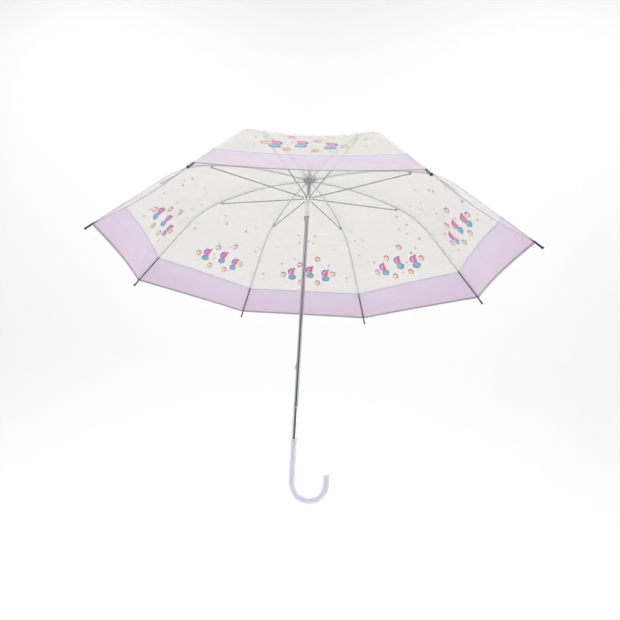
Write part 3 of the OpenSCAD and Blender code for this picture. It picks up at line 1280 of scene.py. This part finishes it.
    def _motif(
        self, data: MeshData, surface: PanelSurface, across: float, up: float, rise: float
    ) -> None:
        """A rounded drop on a round foot, with a leaf beside it.

        Args:
            data: the mesh that grows.
            surface: the half panel printed on.
            across: distance from the panel's middle.
            up: height of its foot above the hem.
            rise: distance outside the sheet.
        """
        p = self.prints
        w, h = p.motif_w, p.motif_h
        foot = (w * 0.34, h * 0.14)
        self._disc(data, surface, (across, up + h * 0.13), foot, 0.0, 1, rise + 0.06)
        outer = (foot[0] * 1.3, foot[1] * 1.35)
        self._disc(data, surface, (across, up + h * 0.13), outer, 0.0, 2, rise + 0.06, 0.76)
        self._disc(data, surface, (across, up + h * 0.46), (w * 0.25, h * 0.24), 0.3, 0, rise)
        bud, leaf = (across - w * 0.16, up + h * 0.72), (across + w * 0.02, up + h * 0.50)
        self._disc(data, surface, bud, (w * 0.15, h * 0.13), 0.7, 4, rise + 0.03)
        self._crescent(data, surface, leaf, w * 0.42, -0.9, 1.9, 2, rise + 0.10, 1.5)

    def _disc(
        self,
        data: MeshData,
        surface: PanelSurface,
        at: Point2,
        radii: Point2,
        turn: float,
        slot: int,
        rise: float,
        inner: float = 0.0,
    ) -> None:
        """An ellipse printed on the sheet, or a ring if inner is above 0.

        Args:
            data: the mesh that grows.
            surface: the half panel printed on.
            at: its middle, across and up.
            radii: half its width and height.
            turn: its turn in radians.
            slot: which material it takes.
            rise: distance outside the sheet.
            inner: the hole's share of the radius.
        """
        steps, rings = self.prints.disc_steps, self.prints.disc_rings
        first = len(data.points)
        for k in range(rings + 1):
            share = max(0.02, inner + (1 - inner) * k / rings)
            for j in range(steps):
                a = math.tau * j / steps
                x, y = math.cos(a) * share, math.sin(a) * share
                dx, dy = radii[0] * x, radii[1] * y
                dx, dy = dx * math.cos(turn) - dy * math.sin(turn), dx * math.sin(turn) + dy * math.cos(turn)
                data.add(surface.on_sheet(at[0] + dx, at[1] + dy, rise), (x, y))
        begin = len(data.faces)
        data.grid(rings + 1, steps, first, closed=True)
        if not inner:
            data.face(*range(first, first + steps))
        for i in range(begin, len(data.faces)):
            data.slots[i] = slot

    def _crescent(
        self,
        data: MeshData,
        surface: PanelSurface,
        at: Point2,
        radius: float,
        start: float,
        end: float,
        slot: int,
        rise: float,
        fat: float,
    ) -> None:
        """A leaf-shaped arc printed on the sheet.

        Args:
            data: the mesh that grows.
            surface: the half panel printed on.
            at: its centre, across and up.
            radius: radius of its arc.
            start: angle where it starts.
            end: angle where it ends.
            slot: which material it takes.
            rise: distance outside the sheet.
            fat: how broad it is.
        """
        steps, over = self.prints.leaf_steps, 3
        first = len(data.points)
        for i in range(steps + 1):
            share = i / steps
            a = start + (end - start) * share
            width = radius * 0.34 * fat * math.sin(math.pi * share) ** 0.7
            for k in range(over):
                r = radius + width * (k / (over - 1) - 0.5)
                x, y = at[0] + r * math.cos(a), at[1] + r * math.sin(a)
                data.add(surface.on_sheet(x, y, rise), (share, k / (over - 1)))
        for i in range(steps):
            for k in range(over - 1):
                a, b = first + i * over, first + (i + 1) * over
                data.face(a + k, b + k, b + k + 1, a + k + 1, slot=slot)

    def _cap(self) -> None:
        """The scalloped cap that covers the canopy's middle."""
        t = self.trim
        low, high = t.cap_z, t.cap_z + t.cap_h
        profile = [
            (t.cap_hole_r, low), (9.0, low), (t.cap_r - 1.0, low + 0.15), (t.cap_r - 0.25, low + 0.45),
            (t.cap_r - 0.4, low + 0.9), (t.cap_r - 2.2, low + 1.0), (12.0, low + 1.25), (9.0, low + 1.9),
            (6.4, high - 0.25), (5.2, high), (t.cap_hole_r, high),
        ]

        def wave(r: float, a: float) -> float:
            """Height of the cap's scallops at a radius and an angle."""
            share = max(0.0, (r - 8.0) / (t.cap_r - 8.0))
            return 0.32 * share * (1 + math.cos(t.scallops * a))

        data = MeshData()
        lathe(data, profile, 128, wave)
        cap = data.build("crown_patch", [self.finishes.get("cap")])
        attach(cap, "shaft")
        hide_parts("canopy_cap")


# ---------------------------------------------------------------- ribs


class Ribs:
    """Builds the curved rib rods and their clips."""

    def __init__(self, line: RibLine, finishes: Finishes) -> None:
        """Keeps what each rib needs.

        Args:
            line: the rib's centreline.
            finishes: the materials.
        """
        self.line, self.finishes, self.clip = line, finishes, ClipSizes()

    def build(self) -> None:
        """Makes all eight ribs."""
        for index in range(1, RIBS + 1):
            rod = self._rod(index)
            clip = self._clip_piece(index)
            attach(clip, f"rib_root_{index}")
            start = in_plane(index, self.line.point_at(self.line.root_l - 6))
            end = in_plane(index, self.line.knee)
            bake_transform(rod)
            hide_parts(f"rib_root_{index}", f"rib_end_{index}")

    def _rod(self, index: int) -> bpy.types.Object:
        """One rib rod with its eye.

        Args:
            index: the rib's number.

        Returns:
            The piece.
        """
        s = self.line.sizes
        data = MeshData()
        steps = s.steps
        run = [s.start_l + (self.line.length - s.start_l) * i / steps for i in range(steps + 1)]
        path = [in_plane(index, self.line.point_at(r)) for r in run]
        sweep(data, path, s.sides, lambda r, a: s.rod_d / 2 * MM, start=s.start_l * MM)
        self._eye(data, index)
        return data.build(f"rib_rod_{index}", [self.finishes.get("rib_rod")])

    def _eye(self, data: MeshData, index: int) -> None:
        """The flat bored eye at the crown end of the rod.

        Args:
            data: the mesh that grows.
            index: the rib's number.
        """
        s = self.line.sizes
        sides, bore = s.eye_sides, s.eye_bore
        c = in_plane(index, (s.pivot_r, s.pivot_z))
        radial = (in_plane(index, (1000.0, s.pivot_z)) - c).normalized()
        up = Vector((0, 0, 1))
        across = radial.cross(up).normalized()
        first = len(data.points)
        ring = [
            (s.eye_d / 2 - 0.25, -0.5), (s.eye_d / 2, -0.3), (s.eye_d / 2, 0.3), (s.eye_d / 2 - 0.25, 0.5),
            (bore + 0.15, 0.5), (bore, 0.4), (bore, -0.4), (bore + 0.15, -0.5),
        ]
        for j in range(sides):
            a = math.tau * j / sides
            out = radial * math.cos(a) + up * math.sin(a)
            for r, t in ring:
                data.add(c + (out * r + across * (t * s.eye_t)) * MM, (0.0, 0.02))
        n = len(ring)
        for j in range(sides):
            k = (j + 1) % sides
            for i in range(n):
                m = (i + 1) % n
                data.face(first + j * n + i, first + j * n + m, first + k * n + m, first + k * n + i)

    def _clip_piece(self, index: int) -> bpy.types.Object:
        """One clip with its cheeks and rivet.

        Args:
            index: the rib's number.

        Returns:
            The piece.
        """
        s, c = self.line.sizes, self.clip
        slope = math.radians(s.joint_slope)
        at = in_plane(index, self.line.at_joint)
        ahead = (in_plane(index, self._off(self.line.at_joint, RibLine.along(slope))) - at).normalized()
        above = (in_plane(index, self._off(self.line.at_joint, RibLine.above(slope))) - at).normalized()
        aside = above.cross(ahead)
        frame = Matrix((ahead, aside, above)).transposed()
        data = MeshData()
        foot = s.rod_d / 2 + c.wall
        half = (c.length / 2, c.width / 2, (foot + c.lip) / 2)
        self._block(data, frame, at, half, Vector((0, 0, (c.lip - foot) / 2)))
        for sign in (-1, 1):
            y = sign * (c.width - c.cheek) / 2
            self._cheek(data, frame, at, y)
        self._rivet(data, frame, at)
        return data.build(f"rib_clip_{index}", [self.finishes.get("clip"), self.finishes.get("rivet")])

    @staticmethod
    def _off(at: Point2, by: Point2) -> Point2:
        """A point moved by a step."""
        return (at[0] + by[0], at[1] + by[1])

    def _loft(
        self,
        data: MeshData,
        frame: Matrix,
        at: Vector,
        rings: Iterable[Sequence[Vector]],
        slot: int = 0,
    ) -> None:
        """Joins rings of points given in the clip's frame, with closed ends.

        Args:
            data: the mesh that grows.
            frame: the clip's axes as columns.
            at: the clip's middle on the rod, in metres.
            rings: rings of points, in millimetres.
            slot: which material they take.
        """
        rings = [list(r) for r in rings]
        first, n = len(data.points), len(rings[0])
        for r in rings:
            for p in r:
                data.add(at + frame @ (p * MM), (p.x * 0.1, p.z * 0.1))
        begin = len(data.faces)
        data.grid(len(rings), n, first, closed=True)
        data.face(*reversed(range(first, first + n)))
        data.face(*range(first + (len(rings) - 1) * n, first + len(rings) * n))
        for i in range(begin, len(data.faces)):
            data.slots[i] = slot

    def _block(
        self, data: MeshData, frame: Matrix, at: Vector, half: Sequence[float], centre: Vector
    ) -> None:
        """A rounded block round the rod, waisted in the middle.

        Args:
            data: the mesh that grows.
            frame: the clip's axes as columns.
            at: the clip's middle on the rod, in metres.
            half: half its length, width and height.
            centre: its middle in the clip's frame.
        """
        r = self.clip.rounding
        rings = []
        near = [(-1.0, r), (-0.93, 0.12), (-0.5, 0.0), (-0.3, 0.18)]
        stations = near + [(-share, inset) for share, inset in reversed(near)]
        for share, inset in stations:
            ring = []
            w, h = half[1] - inset, half[2] - inset
            for j in range(32):
                a = math.tau * (j + 0.5) / 32
                cx, sx = math.cos(a), math.sin(a)
                y = math.copysign(abs(cx) ** 0.38, cx) * w
                z = math.copysign(abs(sx) ** 0.38, sx) * h
                ring.append(centre + Vector((share * half[0], y, z)))
            rings.append(ring)
        self._loft(data, frame, at, rings)

    def _cheek(self, data: MeshData, frame: Matrix, at: Vector, y: float) -> None:
        """A rounded tongue that carries the rivet.

        Args:
            data: the mesh that grows.
            frame: the clip's axes as columns.
            at: the clip's middle on the rod, in metres.
            y: its place along the rivet.
        """
        s, c = self.line.sizes, self.clip
        r, t = s.eye_d / 2, c.cheek / 2
        rings = []
        for dy, inset in ((-t, 0.25), (-t + 0.2, 0.0), (t - 0.2, 0.0), (t, 0.25)):
            ring = [Vector((r - inset, y + dy, -0.4)), Vector((-(r - inset), y + dy, -0.4))]
            for j in range(13):
                a = math.pi + math.pi * j / 12
                ring.append(Vector(((r - inset) * math.cos(a), y + dy, -s.lift + (r - inset) * math.sin(a))))
            rings.append(ring)
        self._loft(data, frame, at, rings)

    def _rivet(self, data: MeshData, frame: Matrix, at: Vector) -> None:
        """The rivet with its two domed heads.

        Args:
            data: the mesh that grows.
            frame: the clip's axes as columns.
            at: the clip's middle on the rod, in metres.
        """
        s, c = self.line.sizes, self.clip
        w = c.width / 2
        r, h = c.rivet_d / 2, c.rivet_head_d / 2
        profile = [
            (0.1, -w - c.rivet_head_h), (h * 0.7, -w - c.rivet_head_h * 0.8), (h, -w - 0.02), (r, -w + 0.02),
            (r, w - 0.02), (h, w + 0.02), (h * 0.7, w + c.rivet_head_h * 0.8), (0.1, w + c.rivet_head_h),
        ]
        turns = [math.tau * j / 18 for j in range(18)]
        rings = [
            [Vector((radius * math.cos(a), y, -s.lift + radius * math.sin(a))) for a in turns]
            for radius, y in profile
        ]
        self._loft(data, frame, at, rings, slot=1)


# ---------------------------------------------------------------- handle


class Handle:
    """Builds the hook handle."""

    def __init__(self, finishes: Finishes) -> None:
        """Keeps the materials and takes the sizes."""
        self.finishes, self.sizes = finishes, HandleSizes()

    def build(self) -> None:
        """Makes the rod with its rounded end and parting line."""
        s = self.sizes
        low, top = -s.straight / 2, s.straight / 2
        path: list[Point2] = [(0.0, top - 0.02 * i * i) for i in range(6)]
        path += [(0.0, top - 2 - (s.straight - 2) * i / 30) for i in range(1, 31)]
        for i in range(1, 61):
            a = math.pi * i / 60
            path.append((s.hook_r - s.hook_r * math.cos(a), low - s.hook_r * math.sin(a)))
        path += [(2 * s.hook_r, low + (s.end_l - s.end_round) * i / 8) for i in range(1, 9)]
        tail = [
            (2 * s.hook_r, low + s.end_l - s.end_round * (1 - math.sin(math.pi / 2 * i / 8)))
            for i in range(1, 9)
        ]
        centre = [Vector((x, 0, z)) * MM for x, z in path + tail]
        whole = sum((b - a).length for a, b in zip(centre, centre[1:]))

        def radius(run: float, a: float) -> float:
            """The rod's radius there, in metres, with its ridge and rounded ends.

            Args:
                run: length along the rod, in metres.
                a: angle round the rod.

            Returns:
                The radius.
            """
            r = s.rod_d / 2
            left = (whole - run) / MM
            if left < s.end_round:
                r -= s.end_round * (1 - math.sqrt(max(0.0, 1 - (1 - left / s.end_round) ** 2)))
            if run / MM < 0.6:
                r -= 0.6 - run / MM
            ridge = math.exp(-((math.sin(a) / 0.05) ** 2))
            return (r + s.seam_rise * ridge) * MM

        data = MeshData()
        sweep(data, centre, s.sides, radius, up=Vector((0, 1, 0)))
        piece = data.build("hook_grip", [self.finishes.get("handle")])
        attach(piece, "shaft")
        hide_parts("handle")


# ---------------------------------------------------------------- carried-over pieces


class Carried:
    """Gives the CAD nodes that stay shown their materials."""

    SINGLE = {
        "shaft_tube": ("shaft", "shaft_steel"),
        "crown": ("crown", "crown_plastic"),
        "crown_wire": ("wire", "wire"),
        "ferrule": ("ferrule", "ferrule_plastic"),
        "stop_pin": ("wire", "wire"),
        "top_catch": ("catch", "catch_steel"),
        "low_catch": ("catch", "catch_steel"),
        "collar": ("collar", "collar_chrome"),
        "runner": ("runner", "runner_plastic"),
        "runner_wire": ("wire", "wire"),
    }
    EACH = {
        "rib_tip": ("tip", "tip_plastic"),
        "stretcher": ("stretcher", "stretcher_coat"),
    }

    def __init__(self, nodes: dict[str, bpy.types.Object], finishes: Finishes) -> None:
        """Keeps the nodes and the materials."""
        self.nodes, self.finishes = nodes, finishes

    def build(self) -> None:
        """Assigns the materials."""
        for name, (look, slot) in self.SINGLE.items():
            self._assign(name, look)
        for stem, (look, slot) in self.EACH.items():
            for index in range(1, RIBS + 1):
                self._assign(f"{stem}_{index}", look)

    def _assign(self, name: str, look: str) -> None:
        """Puts a material on a carried-over node.

        Args:
            name: the node.
            look: the material's name.
        """
        node = self.nodes[name]
        material = self.finishes.get(look)
        if node.data.materials:
            for i in range(len(node.data.materials)):
                node.data.materials[i] = material
        else:
            node.data.materials.append(material)
        LOG.info("%s wears %s", name, look)


# ---------------------------------------------------------------- studio


@dataclass(frozen=True)
class Lamp:
    """A soft area light."""

    name: str
    at: tuple[float, float, float]
    aim: tuple[float, float, float]
    size: float
    watts: float
    colour: Colour = (1.0, 1.0, 1.0)


@dataclass(frozen=True)
class BackdropSizes:
    """Floor and wall joined by a cove, in metres."""

    floor_z: float = -0.6
    front_y: float = -6.0
    wall_y: float = 3.0
    wall_z: float = 7.0
    half_w: float = 8.0
    cove_r: float = 1.4
    cove_steps: int = 16


class Studio:
    """Floor, light and camera."""

    BACKDROP = BackdropSizes()
    WORLD_STRENGTH = 0.95
    FADE = {"From Min": -0.88, "From Max": -0.4, "To Min": 0.15, "To Max": 1.0}

    LAMPS = (
        Lamp("key", (-1.9, -1.6, 1.9), (0.0, 0.0, 0.45), 1.6, 11.0, (0.97, 0.985, 1.0)),
        Lamp("fill", (2.2, -1.2, 0.9), (0.0, 0.0, 0.4), 2.0, 9.0, (1.0, 0.985, 0.97)),
        Lamp("top", (0.2, 0.6, 2.6), (0.0, 0.0, 0.4), 2.2, 8.0),
        Lamp("backdrop_left", (-2.2, 0.4, 3.6), (-1.6, 3.0, 0.6), 2.6, 45.0),
        Lamp("backdrop_right", (2.2, 0.4, 3.6), (1.6, 3.0, 0.6), 2.6, 45.0),
        Lamp("floor", (0.0, -0.6, 2.9), (0.0, 1.4, -0.6), 2.6, 6.0),
    )

    def build(self) -> None:
        """Makes the studio."""
        self._backdrop()
        self._world()
        for lamp in self.LAMPS:
            self._lamp(lamp)
        self._camera(CameraSizes())

    def _backdrop(self) -> None:
        """Floor and wall as one coved sheet."""
        data = MeshData()
        s = self.BACKDROP
        foot_y, top_z = s.wall_y - s.cove_r, s.floor_z + s.cove_r
        profile = [(s.front_y, s.floor_z), (-2.0, s.floor_z), (foot_y, s.floor_z)]
        for i in range(1, s.cove_steps + 1):
            a = math.pi / 2 * i / s.cove_steps
            profile.append((foot_y + s.cove_r * math.sin(a), top_z - s.cove_r * math.cos(a)))
        profile += [(s.wall_y, 3.0), (s.wall_y, s.wall_z)]
        for y, z in profile:
            for x in (-s.half_w, s.half_w):
                data.add(Vector((x, y, z)), (x, y))
        data.grid(len(profile), 2, 0)
        g = Graph("backdrop", Finish((0.93, 0.93, 0.93), 0.9))
        g.set("Base Color", g.mix(g.noise(0.6), (0.92, 0.92, 0.92), (0.94, 0.94, 0.94)))
        floor = data.build("backdrop", [g.material])

    def _world(self) -> None:
        """Even surroundings, dimmer towards the front."""
        world = bpy.data.worlds.new("studio")
        world.use_nodes = True
        back = world.node_tree.nodes["Background"]
        tree = world.node_tree
        aim = tree.nodes.new("ShaderNodeTexCoord")
        split = tree.nodes.new("ShaderNodeSeparateXYZ")
        fade = tree.nodes.new("ShaderNodeMapRange")
        fade.interpolation_type = "SMOOTHSTEP"
        for key, value in self.FADE.items():
            fade.inputs[key].default_value = value
        tree.links.new(aim.outputs["Generated"], split.inputs[0])
        tree.links.new(split.outputs["Y"], fade.inputs["Value"])
        tree.links.new(fade.outputs[0], back.inputs["Color"])
        back.inputs["Strength"].default_value = self.WORLD_STRENGTH
        bpy.context.scene.world = world
        bpy.context.scene.view_settings.view_transform = "Standard"

    def _lamp(self, lamp: Lamp) -> None:
        """Adds one area light.

        Args:
            lamp: its place, size and power.
        """
        light = bpy.data.lights.new(lamp.name, "AREA")
        light.shape = "SQUARE"
        light.size = lamp.size
        light.energy = lamp.watts
        light.color = lamp.colour
        made = bpy.data.objects.new(lamp.name, light)
        made.location = lamp.at
        made.rotation_euler = (Vector(lamp.aim) - Vector(lamp.at)).to_track_quat("-Z", "Y").to_euler()
        bpy.context.scene.collection.objects.link(made)

    def _camera(self, s: CameraSizes) -> None:
        """Adds the camera.

        Args:
            s: its lens and place.
        """
        data = bpy.data.cameras.new("camera")
        data.lens, data.sensor_width = s.lens, s.sensor
        data.shift_x, data.shift_y = s.shift_x, s.shift_y
        data.clip_start, data.clip_end = 0.02, 50.0
        made = bpy.data.objects.new("camera", data)
        turn = Matrix((s.right, s.up, tuple(-c for c in s.forward))).transposed().to_4x4()
        made.matrix_world = Matrix.Translation(s.location) @ turn
        bpy.context.scene.collection.objects.link(made)
        bpy.context.scene.camera = made


class Umbrella:
    """The whole object."""

    def __init__(self, frame: dict[str, object]) -> None:
        """Keeps the frame.
        """
        self.nodes = frame["nodes"]
        self.finishes = Finishes()
        self.line = RibLine(RibSizes())

    def build(self) -> None:
        """Makes every piece."""
        Canopy(self.line, self.finishes).build()
        Ribs(self.line, self.finishes).build()
        Handle(self.finishes).build()
        Carried(self.nodes, self.finishes).build()


def main() -> None:
    """Builds the scene."""
    logging.basicConfig(level=logging.INFO, format="%(name)s %(message)s")
    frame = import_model()
    Umbrella(frame).build()
    Studio().build()
    bpy.context.view_layer.update()


if __name__ == "__main__":
    main()
